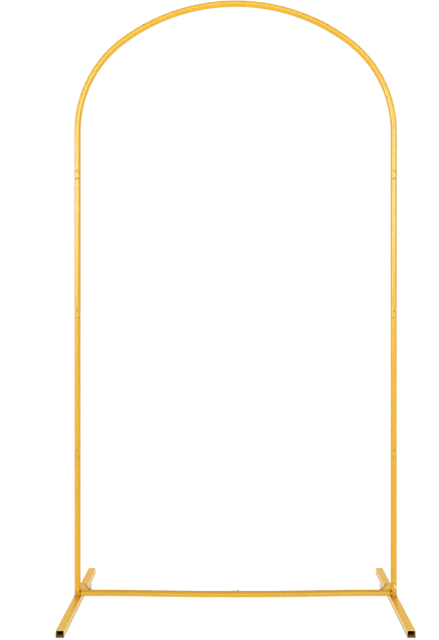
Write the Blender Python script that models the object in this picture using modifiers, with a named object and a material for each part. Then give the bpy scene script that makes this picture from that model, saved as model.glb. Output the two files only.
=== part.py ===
"""Balloon arch stand: a round topped frame of sleeved steel tubes on two box tube feet.

Metres, +Z up. The origin is on the floor, midway between the legs. X runs from leg to leg
and the front of the stand looks along -Y.
"""

import math

import bmesh
import bpy
from mathutils import Matrix, Vector

# Round tube, the same for arch, legs and crossbar
TUBE_RADIUS = 0.011
TUBE_WALL = 0.001
TUBE_SIDES = 16

# Shape of the arch, on the centre line of its tube
LEG_SPACING = 1.155
CROWN_RADIUS = 0.69
SHOULDER_RADIUS = 0.41
SHOULDER_TAIL = 0.1744
CROWN_TUBE_LENGTH = 0.636

# Straight poles of a leg, seam to seam
UPPER_POLE_LENGTH = 0.508
MIDDLE_POLE_LENGTH = 0.508
LOWER_POLE_LENGTH = 0.448

# Sleeve joints: the neck of one tube slides into the next
NECK_LENGTH = 0.040
NECK_TAPER = 0.0022
NECK_CLEARANCE = 0.0003
SEAT_GAP = 0.0003

# Feet and the pieces welded to them
FOOT_WIDTH = 0.028
FOOT_HEIGHT = 0.025
FOOT_LENGTH = 0.500
FOOT_WALL = 0.0012
FOOT_CORNER = 0.002
SOCKET_HEIGHT = 0.0597
STUB_REACH = 0.060
STUB_TIP_RADIUS = 0.0064
STUB_TAPER = 0.007
GUSSET_THICKNESS = 0.003
GUSSET_REACH = 0.046
GUSSET_TOP_REACH = 0.0155
GUSSET_HEIGHT = 0.0235

# Crossbar: its middle seam lies a little left of the centre, and it sags there
CROSSBAR_SEAM = -0.0145
CROSSBAR_SAG = 0.0045
CROSSBAR_LEVEL_END = 0.070

# Pan head screws through the sleeves
SCREW_RADIUS = 0.0024
SCREW_CLEARANCE = 0.0003
SCREW_HEAD_RADIUS = 0.0043
SCREW_HEAD_HEIGHT = 0.0026
SCREW_GRIP = 0.0045
LEG_SCREW_RISE = 0.027
CROWN_SCREW_INSET = 0.029
CROWN_SCREW_TILT = math.radians(22)
CROSSBAR_SCREW_INSET = 0.022

# Wing bolts and the nuts they run in
BOLT_RADIUS = 0.003
BOLT_BOSS_RADIUS = 0.0045
BOLT_BOSS_LENGTH = 0.009
BOLT_NECK = 0.003
WING_SPAN = 0.024
WING_RISE = 0.0055
WING_TIP_RADIUS = 0.0042
WING_THICKNESS = 0.0022
NUT_ACROSS_FLATS = 0.010
NUT_HEIGHT = 0.004
SOCKET_BOLT_HEIGHT = 0.044
STUB_BOLT_REACH = 0.044
STUB_BOLT_TILT = math.radians(45)

STUB_BOLT_TURN = math.radians(55)
SOCKET_BOLT_TURN = math.radians(90)

# Screw head from its top down, as shares of its radius and height
SCREW_HEAD_PROFILE = ((0, 1), (0.62, 0.93), (0.92, 0.6), (1, 0.25), (1, 0))
SCREW_POINT = 0.8
SCREW_POINT_RADIUS = 0.5

# Wing bolt, as shares of its boss and its shank
BOSS_TOP_RADIUS = 0.7
BOSS_EDGE_RADIUS = 0.85
BOSS_EDGE_HEIGHT = 0.9
WING_ROOT_HEIGHT = 0.25
WING_CROTCH_RADIUS = 0.5
WING_CROTCH_HEIGHT = 0.9
BOLT_POINT = 0.3

# How finely curves are cut into flats
ARC_STEP = math.radians(5)
END_LEAD = 0.0015
NECK_RINGS = 3
CORNER_STEPS = 3
TURNED_STEPS = 12
WING_STEPS = 6
HEX_SIDES = 6
SMOOTH_ANGLE = math.radians(35)
WELD_DISTANCE = 0.00001
ROUNDING = 0.001

# Heights and places that follow from the sizes above
LEG_X = LEG_SPACING / 2
NECK_RADIUS = TUBE_RADIUS - TUBE_WALL - NECK_CLEARANCE
CROWN_ANGLE = math.asin((LEG_X - SHOULDER_RADIUS) / (CROWN_RADIUS - SHOULDER_RADIUS))
SHOULDER_ANGLE = math.pi / 2 - CROWN_ANGLE
SOCKET_BOTTOM = FOOT_HEIGHT + SEAT_GAP
SOCKET_TOP = SOCKET_BOTTOM + SOCKET_HEIGHT
LOWER_SEAM = SOCKET_TOP + LOWER_POLE_LENGTH
MIDDLE_SEAM = LOWER_SEAM + MIDDLE_POLE_LENGTH
UPPER_SEAM = MIDDLE_SEAM + UPPER_POLE_LENGTH
SPRINGING = UPPER_SEAM + SHOULDER_TAIL
SHOULDER_X = LEG_X - SHOULDER_RADIUS
CROWN_Z = SPRINGING - (CROWN_RADIUS - SHOULDER_RADIUS) * math.cos(CROWN_ANGLE)
STUB_Z = FOOT_HEIGHT + TUBE_RADIUS + SEAT_GAP
CROWN_ARC = CROWN_RADIUS * CROWN_ANGLE
ARCH_ARC = CROWN_ARC + SHOULDER_RADIUS * SHOULDER_ANGLE
CROWN_SEAM = CROWN_TUBE_LENGTH / 2

# Finishes: colour, metallic, roughness
FINISHES = {
    "gold": ("gold_paint", (0.78, 0.50, 0.09, 1.0), 0.6, 0.32),
    "bar": ("bar_gold_paint", (0.70, 0.44, 0.08, 1.0), 0.6, 0.32),
    "foot": ("foot_gold_paint", (0.66, 0.44, 0.18, 1.0), 0.6, 0.42),
    "screw": ("dark_screw", (0.24, 0.17, 0.06, 1.0), 0.8, 0.45),
    "bolt": ("zinc_plate", (0.72, 0.71, 0.68, 1.0), 0.9, 0.35),
}


def clear_scene():
    for old in list(bpy.data.objects):
        bpy.data.objects.remove(old)


def new_collection(name):
    collection = bpy.data.collections.new(name)
    bpy.context.scene.collection.children.link(collection)
    return collection


def new_material(name, colour, metallic, roughness):
    material = bpy.data.materials.new(name)
    material.use_nodes = True
    shader = material.node_tree.nodes["Principled BSDF"]
    shader.inputs["Base Color"].default_value = colour
    shader.inputs["Metallic"].default_value = metallic
    shader.inputs["Roughness"].default_value = roughness
    return material


def add_object(name, data, material, collection, smooth=True):
    piece = bpy.data.objects.new(name, data)
    piece.data.materials.append(material)
    collection.objects.link(piece)
    if smooth and piece.type == "MESH":
        piece.data.shade_smooth()
        piece.data.set_sharp_from_angle(angle=SMOOTH_ANGLE)
    return piece


def mesh_of(curve, modifiers=()):
    """Turns a curve into a mesh with its caps welded on."""
    holder = bpy.data.objects.new(curve.name, curve)
    bpy.context.scene.collection.objects.link(holder)
    for kind, settings in modifiers:
        modifier = holder.modifiers.new(kind.title(), kind)
        for key, value in settings.items():
            setattr(modifier, key, value)
    bpy.context.view_layer.update()
    evaluated = holder.evaluated_get(bpy.context.evaluated_depsgraph_get())
    mesh = bpy.data.meshes.new_from_object(evaluated)
    shell = bmesh.new()
    shell.from_mesh(mesh)
    bmesh.ops.remove_doubles(shell, verts=shell.verts, dist=WELD_DISTANCE)
    shell.to_mesh(mesh)
    shell.free()
    bpy.data.objects.remove(holder)
    return mesh


def heading(distance):
    """Angle of the arch's centre line below level, at a distance from the apex."""
    if distance <= CROWN_ARC:
        return distance / CROWN_RADIUS
    return min(CROWN_ANGLE + (distance - CROWN_ARC) / SHOULDER_RADIUS, math.pi / 2)


def arch_point(distance):
    """Point on the right half of the arch and its leg, at a distance from the apex."""
    angle = heading(abs(distance))
    side = math.copysign(1, distance)
    if abs(distance) <= CROWN_ARC:
        return Vector((side * CROWN_RADIUS * math.sin(angle), 0, CROWN_Z + CROWN_RADIUS * math.cos(angle)))
    drop = max(abs(distance) - ARCH_ARC, 0)
    x = SHOULDER_X + SHOULDER_RADIUS * math.sin(angle)
    z = SPRINGING + SHOULDER_RADIUS * math.cos(angle) - drop
    return Vector((side * x, 0, z))


def arch_distance(height):
    """Distance from the apex, along the centre line, to a height on the straight leg."""
    return ARCH_ARC + SPRINGING - height


def crossbar_point(x):
    """Centre line of the crossbar: level in the stubs and at the middle joint, sloping between."""
    level_x = LEG_X - CROSSBAR_LEVEL_END
    share = (level_x - abs(x)) / (level_x - CROSSBAR_LEVEL_END)
    return Vector((x, 0, STUB_Z - CROSSBAR_SAG * min(max(share, 0), 1)))


def neck(seam, direction):
    """Rings of a necked end that passes the seam in the given direction, +1 or -1."""
    rings = [(seam - direction * NECK_TAPER, TUBE_RADIUS)]
    rings.append((seam - direction * SEAT_GAP, NECK_RADIUS))
    for step in range(1, NECK_RINGS + 1):
        rings.append((seam + direction * NECK_LENGTH * step / NECK_RINGS, NECK_RADIUS))
    return rings


def sleeve(seam, direction):
    """Rings of a plain end that starts at the seam and covers a neck lying in the given direction."""
    rings = []
    for step in range(NECK_RINGS + 1):
        rings.append((seam + direction * NECK_LENGTH * step / NECK_RINGS, TUBE_RADIUS))
    return rings


def bent_rings(rings):
    """Adds rings where the arch bends, and one just inside each bent end so that it is cut square."""
    keys = sorted(rings)
    low = keys[0][0]
    high = keys[-1][0]
    for place in (-ARCH_ARC, -CROWN_ARC, 0, CROWN_ARC, ARCH_ARC):
        if low < place < high:
            keys.append((place, TUBE_RADIUS))
    keys.sort()
    full = []
    for (a, radius_a), (b, radius_b) in zip(keys, keys[1:]):
        bend = abs(math.copysign(heading(abs(b)), b) - math.copysign(heading(abs(a)), a))
        count = max(1, math.ceil(bend / ARC_STEP - ROUNDING))
        for step in range(count):
            share = step / count
            full.append((a + (b - a) * share, radius_a + (radius_b - radius_a) * share))
    full.append(keys[-1])
    if heading(abs(low)) < math.pi / 2:
        full.insert(1, (low + END_LEAD, full[0][1]))
    if heading(abs(high)) < math.pi / 2:
        full.insert(-1, (high - END_LEAD, full[-1][1]))
    return full


def tube_mesh(name, points, radii):
    """Hollow tube along a line of points, with the outer radius at each."""
    curve = bpy.data.curves.new(name, "CURVE")
    curve.dimensions = "3D"
    curve.bevel_depth = TUBE_RADIUS
    curve.bevel_resolution = (TUBE_SIDES - 4) // 2
    spline = curve.splines.new("POLY")
    spline.points.add(len(points) - 1)
    for place, point, radius in zip(spline.points, points, radii):
        place.co = (*point, 1)
        place.radius = radius / TUBE_RADIUS
    wall = {"thickness": TUBE_WALL, "offset": -1, "use_even_offset": True}
    return mesh_of(curve, [("SOLIDIFY", wall)])


def tube_along(name, path, rings, material, collection):
    points = [path(place) for place, radius in rings]
    radii = [radius for place, radius in rings]
    return add_object(name, tube_mesh(name, points, radii), material, collection)


def flat_outline(name, outlines, thickness):
    """Plate of one closed outline, with any further outlines as holes, centred on its plane."""
    curve = bpy.data.curves.new(name, "CURVE")
    curve.dimensions = "2D"
    curve.fill_mode = "BOTH"
    curve.extrude = thickness / 2
    for outline in outlines:
        spline = curve.splines.new("POLY")
        spline.points.add(len(outline) - 1)
        for place, (x, y) in zip(spline.points, outline):
            place.co = (x, y, 0, 1)
        spline.use_cyclic_u = True
    return mesh_of(curve)


def arc_points(x, y, radius, start, end, steps):
    points = []
    for step in range(steps + 1):
        angle = start + (end - start) * step / steps
        points.append((x + radius * math.cos(angle), y + radius * math.sin(angle)))
    return points


def rounded_rectangle(width, height, corner):
    points = []
    for quarter in range(4):
        start = quarter * math.pi / 2
        x = math.copysign(width / 2 - corner, math.cos(start + math.pi / 4))
        y = math.copysign(height / 2 - corner, math.sin(start + math.pi / 4))
        points += arc_points(x, y, corner, start, start + math.pi / 2, CORNER_STEPS)
    return points


def turned_mesh(name, profile, steps=TURNED_STEPS):
    """Turns a profile of radius and height, given from its top down, about Z."""
    mesh = bpy.data.meshes.new(name)
    edges = [(index, index + 1) for index in range(len(profile) - 1)]
    mesh.from_pydata([(radius, 0, height) for radius, height in profile], edges, [])
    holder = bpy.data.objects.new(name, mesh)
    bpy.context.scene.collection.objects.link(holder)
    screw = holder.modifiers.new("Turn", "SCREW")
    screw.steps = steps
    screw.render_steps = steps
    screw.use_merge_vertices = True
    screw.merge_threshold = WELD_DISTANCE
    bpy.context.view_layer.update()
    evaluated = holder.evaluated_get(bpy.context.evaluated_depsgraph_get())
    turned = bpy.data.meshes.new_from_object(evaluated)
    bpy.data.objects.remove(holder)
    return turned


def aim(piece, place, direction, turn=0):
    """Puts a piece at a place with its +Z axis along the direction, turned about that axis."""
    swing = direction.to_track_quat("Z", "Y").to_matrix().to_4x4()
    matrix = Matrix.Translation(place) @ swing @ Matrix.Rotation(turn, 4, "Z")
    piece.location = matrix.to_translation()
    piece.rotation_euler = matrix.to_euler()


def cut(piece, cutter):
    boolean = piece.modifiers.new(cutter.name, "BOOLEAN")
    boolean.operation = "DIFFERENCE"
    boolean.solver = "EXACT"
    boolean.object = cutter


def hole_cutter(name, radius, place, direction, collection):
    """Cylinder from the tube's centre line outwards, left out of the model itself."""
    length = TUBE_RADIUS * 2
    shape = bmesh.new()
    bmesh.ops.create_cone(
        shape,
        cap_ends=True,
        segments=TURNED_STEPS,
        radius1=radius,
        radius2=radius,
        depth=length,
        matrix=Matrix.Translation((0, 0, length / 2)),
    )
    mesh = bpy.data.meshes.new(name)
    shape.to_mesh(mesh)
    shape.free()
    cutter = bpy.data.objects.new(name, mesh)
    collection.objects.link(cutter)
    aim(cutter, place, direction)
    cutter.hide_render = True
    cutter.display_type = "WIRE"
    return cutter


def screw_mesh():
    """Pan head screw, with its seat at height 0 and its shank pointing down."""
    profile = [(SCREW_HEAD_RADIUS * across, SCREW_HEAD_HEIGHT * up) for across, up in SCREW_HEAD_PROFILE]
    profile += [
        (SCREW_RADIUS, 0),
        (SCREW_RADIUS, -SCREW_GRIP * SCREW_POINT),
        (SCREW_RADIUS * SCREW_POINT_RADIUS, -SCREW_GRIP),
        (0, -SCREW_GRIP),
    ]
    return turned_mesh("screw", profile)


def joint_screw(name, place, direction, tubes, material, parts, cutters):
    """Screw in a hole through the sleeve and the neck inside it."""
    hole = hole_cutter(name + "_hole", SCREW_RADIUS + SCREW_CLEARANCE, place, direction, cutters)
    for tube in tubes:
        cut(tube, hole)
    screw = add_object(name, screw_mesh(), material, parts)
    aim(screw, place + direction * (TUBE_RADIUS + SEAT_GAP), direction)
    return screw


def wing_outline():
    """One plate for both wings, drawn in X and Y, with the boss axis along Y."""
    tip_x = WING_SPAN / 2 - WING_TIP_RADIUS
    tip_y = BOLT_BOSS_LENGTH / 2 + WING_RISE
    low = BOLT_BOSS_LENGTH * WING_ROOT_HEIGHT
    right = [(0, low), (BOLT_BOSS_RADIUS, low)]
    right += arc_points(tip_x, tip_y, WING_TIP_RADIUS, -math.pi / 4, 3 * math.pi / 4, WING_STEPS)
    right.append((BOLT_BOSS_RADIUS * WING_CROTCH_RADIUS, BOLT_BOSS_LENGTH * WING_CROTCH_HEIGHT))
    left = [(-x, y) for x, y in reversed(right) if x > 0]
    return right + left


def wing_bolt_mesh():
    """Wing bolt with its axis on Z: the seat of the boss at height 0, shank down, wings up."""
    seat_to_tip = BOLT_NECK + NUT_HEIGHT + SEAT_GAP + TUBE_WALL
    profile = [
        (0, BOLT_BOSS_LENGTH),
        (BOLT_BOSS_RADIUS * BOSS_TOP_RADIUS, BOLT_BOSS_LENGTH),
        (BOLT_BOSS_RADIUS * BOSS_EDGE_RADIUS, BOLT_BOSS_LENGTH * BOSS_EDGE_HEIGHT),
        (BOLT_BOSS_RADIUS, 0),
        (BOLT_RADIUS, 0),
        (BOLT_RADIUS, -seat_to_tip + BOLT_RADIUS * BOLT_POINT),
        (BOLT_RADIUS * (1 - BOLT_POINT), -seat_to_tip),
        (0, -seat_to_tip),
    ]
    body = bpy.data.objects.new("boss", turned_mesh("boss", profile))
    wings = bpy.data.objects.new("wings", flat_outline("wings", [wing_outline()], WING_THICKNESS))
    wings.rotation_euler.x = math.pi / 2
    for loose in (body, wings):
        bpy.context.scene.collection.objects.link(loose)
    union = body.modifiers.new("Union", "BOOLEAN")
    union.operation = "UNION"
    union.solver = "EXACT"
    union.object = wings
    bpy.context.view_layer.update()
    evaluated = body.evaluated_get(bpy.context.evaluated_depsgraph_get())
    mesh = bpy.data.meshes.new_from_object(evaluated)
    bpy.data.objects.remove(body)
    bpy.data.objects.remove(wings)
    return mesh


def clamp(prefix, side, axis_point, direction, turn, tube, nut_material, bolt_material, parts, cutters):
    """Nut on a tube and the wing bolt that runs through it against the neck inside."""
    bore = BOLT_RADIUS + SCREW_CLEARANCE
    hole = hole_cutter(prefix + "_hole_" + side, bore, axis_point, direction, cutters)
    cut(tube, hole)
    corner = NUT_ACROSS_FLATS / 2 / math.cos(math.pi / HEX_SIDES)
    hexagon = arc_points(0, 0, corner, 0, math.tau * (1 - 1 / HEX_SIDES), HEX_SIDES - 1)
    thread = arc_points(0, 0, bore, 0, math.tau * (1 - 1 / TURNED_STEPS), TURNED_STEPS - 1)
    nut = add_object(prefix + "_nut_" + side, flat_outline("nut", [hexagon, thread], NUT_HEIGHT),
                     nut_material, parts, smooth=False)
    seat = TUBE_RADIUS + SEAT_GAP
    aim(nut, axis_point + direction * (seat + NUT_HEIGHT / 2), direction)
    bolt = add_object(prefix + "_wing_bolt_" + side, wing_bolt_mesh(), bolt_material, parts)
    aim(bolt, axis_point + direction * (seat + NUT_HEIGHT + BOLT_NECK), direction, turn)


def build_arch(materials, parts, cutters):
    gold = materials["gold"]
    crown_rings = bent_rings(neck(-CROWN_SEAM, -1) + neck(CROWN_SEAM, 1))
    crown = tube_along("arch_crown_tube", arch_point, crown_rings, gold, parts)
    upper = arch_distance(UPPER_SEAM)
    middle = arch_distance(MIDDLE_SEAM)
    lower = arch_distance(LOWER_SEAM)
    socket = arch_distance(SOCKET_TOP)
    runs = {
        "arch_shoulder_tube": sleeve(CROWN_SEAM, 1) + sleeve(upper, -1),
        "leg_upper_pole": neck(upper, -1) + sleeve(middle, -1),
        "leg_middle_pole": neck(middle, -1) + sleeve(lower, -1),
        "leg_lower_pole": neck(lower, -1) + neck(socket, 1),
    }
    front = Vector((0, -1, 0))
    for side, sign in (("left", -1), ("right", 1)):
        tubes = {}
        for name, rings in runs.items():
            placed = [(sign * place, radius) for place, radius in rings]
            tubes[name] = tube_along(f"{name}_{side}", arch_point, bent_rings(placed), gold, parts)
        crown_place = arch_point(sign * (CROWN_SEAM + CROWN_SCREW_INSET))
        outwards = (crown_place - Vector((0, 0, CROWN_Z))).normalized()
        tilted = front * math.cos(CROWN_SCREW_TILT) + outwards * math.sin(CROWN_SCREW_TILT)
        joint_screw(f"crown_screw_{side}", crown_place, tilted,
                    (crown, tubes["arch_shoulder_tube"]), materials["screw"], parts, cutters)
        joints = {
            "shoulder_screw": (UPPER_SEAM, "arch_shoulder_tube", "leg_upper_pole"),
            "upper_pole_screw": (MIDDLE_SEAM, "leg_upper_pole", "leg_middle_pole"),
            "middle_pole_screw": (LOWER_SEAM, "leg_middle_pole", "leg_lower_pole"),
        }
        for name, (seam, outer, inner) in joints.items():
            place = Vector((sign * LEG_X, 0, seam + LEG_SCREW_RISE))
            joint_screw(f"{name}_{side}", place, front, (tubes[outer], tubes[inner]),
                        materials["screw"], parts, cutters)


def build_crossbar(materials, parts, cutters):
    """Two halves: necked into the stubs, and the left one necked into the right at the middle."""
    stub_end = LEG_X - STUB_REACH
    bend = LEG_X - CROSSBAR_LEVEL_END
    left_rings = neck(-stub_end, -1) + [(-bend, TUBE_RADIUS), (-CROSSBAR_LEVEL_END, TUBE_RADIUS)]
    left_rings += neck(CROSSBAR_SEAM, 1)
    right_rings = sleeve(CROSSBAR_SEAM, 1) + [(CROSSBAR_LEVEL_END, TUBE_RADIUS), (bend, TUBE_RADIUS)]
    right_rings += neck(stub_end, 1)
    left = tube_along("crossbar_half_left", crossbar_point, sorted(left_rings), materials["bar"], parts)
    right = tube_along("crossbar_half_right", crossbar_point, sorted(right_rings), materials["bar"], parts)
    place = crossbar_point(CROSSBAR_SEAM + CROSSBAR_SCREW_INSET)
    joint_screw("crossbar_screw", place, Vector((0, 0, 1)), (left, right),
                materials["screw"], parts, cutters)


def build_base(side, sign, materials, parts, cutters):
    """Foot with its welded socket, stub and gusset, and the two wing bolts."""
    leg = Vector((sign * LEG_X, 0, 0))
    inwards = Vector((-sign, 0, 0))

    inner_corner = max(FOOT_CORNER - FOOT_WALL, FOOT_CORNER / 4)
    outer = rounded_rectangle(FOOT_WIDTH, FOOT_HEIGHT, FOOT_CORNER)
    inner = rounded_rectangle(FOOT_WIDTH - 2 * FOOT_WALL, FOOT_HEIGHT - 2 * FOOT_WALL, inner_corner)
    foot = add_object(f"foot_tube_{side}", flat_outline("foot", [outer, inner], FOOT_LENGTH),
                      materials["foot"], parts)
    foot.rotation_euler.x = math.pi / 2
    foot.location = leg + Vector((0, 0, FOOT_HEIGHT / 2))

    socket_rings = [(SOCKET_BOTTOM, TUBE_RADIUS), (SOCKET_TOP, TUBE_RADIUS)]
    socket = tube_along(f"base_socket_{side}", lambda height: leg + Vector((0, 0, height)),
                        socket_rings, materials["gold"], parts)

    tip = TUBE_RADIUS + SEAT_GAP
    stub_rings = [(tip, STUB_TIP_RADIUS), (tip + STUB_TAPER, TUBE_RADIUS), (STUB_REACH, TUBE_RADIUS)]
    stub_axis = leg + Vector((0, 0, STUB_Z))
    stub = tube_along(f"crossbar_stub_{side}", lambda reach: stub_axis + inwards * reach,
                      stub_rings, materials["bar"], parts)

    low = STUB_Z + TUBE_RADIUS + SEAT_GAP
    outline = [
        (tip, low),
        (GUSSET_REACH, low),
        (tip + GUSSET_TOP_REACH, low + GUSSET_HEIGHT),
        (tip, low + GUSSET_HEIGHT),
    ]
    gusset = add_object(f"gusset_{side}", flat_outline("gusset", [outline], GUSSET_THICKNESS),
                        materials["gold"], parts, smooth=False)
    gusset.rotation_euler = (math.pi / 2, 0, 0 if sign < 0 else math.pi)
    gusset.location = leg

    socket_point = leg + Vector((0, 0, SOCKET_BOTTOM + SOCKET_BOLT_HEIGHT))
    clamp("socket", side, socket_point, Vector((0, -sign, 0)), SOCKET_BOLT_TURN, socket,
          materials["gold"], materials["bolt"], parts, cutters)
    stub_point = stub_axis + inwards * STUB_BOLT_REACH
    backwards = Vector((0, math.sin(STUB_BOLT_TILT), math.cos(STUB_BOLT_TILT)))
    clamp("stub", side, stub_point, backwards, STUB_BOLT_TURN, stub,
          materials["gold"], materials["bolt"], parts, cutters)


def main():
    clear_scene()
    parts = new_collection("balloon_arch_stand")
    cutters = new_collection("cutters")
    materials = {key: new_material(*finish) for key, finish in FINISHES.items()}
    build_arch(materials, parts, cutters)
    build_crossbar(materials, parts, cutters)
    for side, sign in (("left", -1), ("right", 1)):
        build_base(side, sign, materials, parts, cutters)


main()
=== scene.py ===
import math

import bmesh
import bpy
from mathutils import Matrix, Vector, noise


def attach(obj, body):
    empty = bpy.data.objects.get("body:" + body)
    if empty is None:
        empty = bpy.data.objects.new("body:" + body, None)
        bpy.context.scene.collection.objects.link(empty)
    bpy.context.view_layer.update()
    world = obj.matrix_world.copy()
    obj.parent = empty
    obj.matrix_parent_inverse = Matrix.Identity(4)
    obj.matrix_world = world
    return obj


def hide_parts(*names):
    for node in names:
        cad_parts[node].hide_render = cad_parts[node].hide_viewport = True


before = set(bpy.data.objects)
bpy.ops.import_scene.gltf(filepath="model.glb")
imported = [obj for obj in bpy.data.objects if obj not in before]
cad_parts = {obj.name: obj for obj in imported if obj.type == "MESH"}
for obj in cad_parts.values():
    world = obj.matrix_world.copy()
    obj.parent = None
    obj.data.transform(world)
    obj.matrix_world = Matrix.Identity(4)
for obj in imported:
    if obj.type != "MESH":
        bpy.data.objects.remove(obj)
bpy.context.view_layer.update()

mm = 0.001
front = Vector((0, -1, 0))
backwards = Vector((0, 1, 0))
rightwards = Vector((1, 0, 0))
up = Vector((0, 0, 1))
sides = {"left": -1, "right": 1}
shown = []  # every piece made here, for the count at the end


# Shape of the stand, the same sizes as its solids
stand = {
    "tubeRadius": 11 * mm,
    "tubeWall": 1 * mm,
    "legX": 577.5 * mm,
    "crownRadius": 690 * mm,
    "shoulderRadius": 410 * mm,
    "springing": 1723.4 * mm,       # where the legs start to bend
    "crownSeam": 318 * mm,          # along the bend, from the apex
    "upperSeam": 1549 * mm,
    "middleSeam": 1041 * mm,
    "lowerSeam": 533 * mm,
    "socketTop": 85 * mm,
    "footHeight": 25 * mm,
    "footLength": 500 * mm,
    "stubHeight": 36.3 * mm,        # centre line of the stub and of the crossbar's ends
    "stubReach": 60 * mm,
    "barSag": 4.5 * mm,
    "barLevelEnd": 70 * mm,
    "barSeam": -14.5 * mm,
}
tubeRadius = stand["tubeRadius"]
legX = stand["legX"]
crownR = stand["crownRadius"]
shoulderR = stand["shoulderRadius"]
crownAngle = math.asin((legX - shoulderR) / (crownR - shoulderR))
crownArc = crownR * crownAngle
archArc = crownArc + shoulderR * (math.pi / 2 - crownAngle)
crownCentreZ = stand["springing"] - (crownR - shoulderR) * math.cos(crownAngle)
stubZ = stand["stubHeight"]


# Materials


class Wire:
    # One output socket. Sums written with it add their own Math nodes.
    def __init__(self, paint, socket):
        self.paint = paint
        self.socket = socket

    def __add__(self, other):
        return self.paint.maths("ADD", self, other)

    def __radd__(self, other):
        return self.paint.maths("ADD", other, self)

    def __sub__(self, other):
        return self.paint.maths("SUBTRACT", self, other)

    def __rsub__(self, other):
        return self.paint.maths("SUBTRACT", other, self)

    def __mul__(self, other):
        return self.paint.maths("MULTIPLY", self, other)

    def __rmul__(self, other):
        return self.paint.maths("MULTIPLY", other, self)


class Paint:
    # The nodes of a material or of the world, under construction.
    def __init__(self, owner):
        self.owner = owner
        owner.use_nodes = True
        self.tree = owner.node_tree
        self.tree.nodes.clear()

    def node(self, kind, settings=None, values=None, out=0):
        made = self.tree.nodes.new(kind)
        for key, value in (settings or {}).items():
            setattr(made, key, value)
        for key, value in (values or {}).items():
            if isinstance(value, Wire):
                self.tree.links.new(value.socket, made.inputs[key])
            else:
                made.inputs[key].default_value = value
        return Wire(self, made.outputs[out]) if made.outputs else None

    def maths(self, operation, *terms):
        return self.node("ShaderNodeMath", {"operation": operation}, dict(enumerate(terms)))

    def vectors(self, operation, *terms, out="Value"):
        return self.node("ShaderNodeVectorMath", {"operation": operation}, dict(enumerate(terms)), out)

    def place(self):
        return self.node("ShaderNodeTexCoord", out="Object")

    def part(self, vector, axis):
        # x, y or z of a vector, for axis 0, 1 or 2
        return self.node("ShaderNodeSeparateXYZ", None, {"Vector": vector}, axis)

    def stretched(self, place, scale):
        return self.node("ShaderNodeMapping", None, {"Vector": place, "Scale": scale})

    def noise(self, place, scale, detail=2, rough=0.5):
        values = {"Vector": place, "Scale": scale, "Detail": detail, "Roughness": rough}
        return self.node("ShaderNodeTexNoise", None, values)

    def cells(self, place, scale):
        # a random shade for each cell
        colour = self.node("ShaderNodeTexVoronoi", None, {"Vector": place, "Scale": scale}, "Color")
        return self.node("ShaderNodeSeparateColor", None, {"Color": colour})

    def step(self, value, low, high, start=0, end=1):
        values = {"Value": value, "From Min": low, "From Max": high, "To Min": start, "To Max": end}
        return self.node("ShaderNodeMapRange", {"interpolation_type": "SMOOTHSTEP"}, values)

    def mix(self, factor, first, second):
        return self.node("ShaderNodeMix", {"data_type": "RGBA"}, {0: factor, 6: first, 7: second}, 2)

    def length(self, first, second):
        return self.vectors("LENGTH", self.node("ShaderNodeCombineXYZ", None, {0: first, 1: second}))

    def mark(self, name):
        # a number kept on the mesh, such as how worn a place is; on the gussets it also lays painted shade
        return self.node("ShaderNodeAttribute", {"attribute_name": name}, out="Fac")

    def bump(self, height, depth):
        return self.node("ShaderNodeBump", None, {"Height": height, "Distance": depth, "Strength": 1})

    def seen(self):
        # 1 for what the camera sees: straight, in a reflection or through glass
        rays = [self.node("ShaderNodeLightPath", out=name)
                for name in ("Is Camera Ray", "Is Glossy Ray", "Is Transmission Ray")]
        return self.maths("MAXIMUM", self.maths("MAXIMUM", *rays[:2]), rays[2])

    def finish(self, values):
        shader = self.node("ShaderNodeBsdfPrincipled", None, values)
        self.node("ShaderNodeOutputMaterial", None, {"Surface": shader})
        return self.owner


def rgb(red, green, blue):
    return (red, green, blue, 1)


goldFinish = {
    "coat": rgb(0.91, 0.50, 0.006),
    "deep": rgb(0.79, 0.40, 0.005),       # where the coat is thin
    "flake": rgb(1.0, 0.66, 0.07),        # metal flakes in it
    "worn": rgb(0.56, 0.33, 0.055),       # rubbed through at the joints
    "edge": rgb(1.0, 0.94, 0.80),         # tint of its gloss
    "metallic": 0.0,
    "gloss": 0.5,
    "roughness": (0.24, 0.28),
    "grazing": 0.18,                      # roughness added where the surface turns away
    "peel": 0.009 * mm,
    "scales": {"broad": 6, "patch": 55, "flake": 2400, "grain": 1400, "peel": (380, 2200)},
    "paintedCreviceShade": rgb(0.27, 0.10, 0.002),       # painted shade: dark brown in the crevices above and below the stub's weld
    "creviceShadeReach": legX - 10.3 * mm,
    "creviceShadeRing": 9.6 * mm,
    "creviceShadeSize": (2.2 * mm, 5.0 * mm),
    "creviceShadeClimb": (4 * mm, 7 * mm),        # none of it level with the stub's centre line
    "creviceShadeRagged": 2 * mm,
    "darkening": rgb(0.46, 0.25, 0.012),      # darker brown at the foot of the socket
    "darkeningHeight": (27 * mm, 62 * mm),
    "darkeningReach": (legX - 16 * mm, legX - 12 * mm),
    "darkeningRagged": 20 * mm,
}
# a darker copy of the same gold: painted shade on the low crossbar and its stubs
shadedBarFinish = dict(goldFinish, coat=rgb(0.83, 0.45, 0.008), deep=rgb(0.70, 0.35, 0.006),
                 roughness=(0.34, 0.38))
# a paler copy of the same gold: painted reflection on the gusset plates; its dark worn colour is painted
# shade along their sloping edge
paintedLightPlateFinish = dict(goldFinish, coat=rgb(0.745, 0.485, 0.150), deep=rgb(0.66, 0.41, 0.11),
                   worn=rgb(0.36, 0.19, 0.08))
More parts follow.
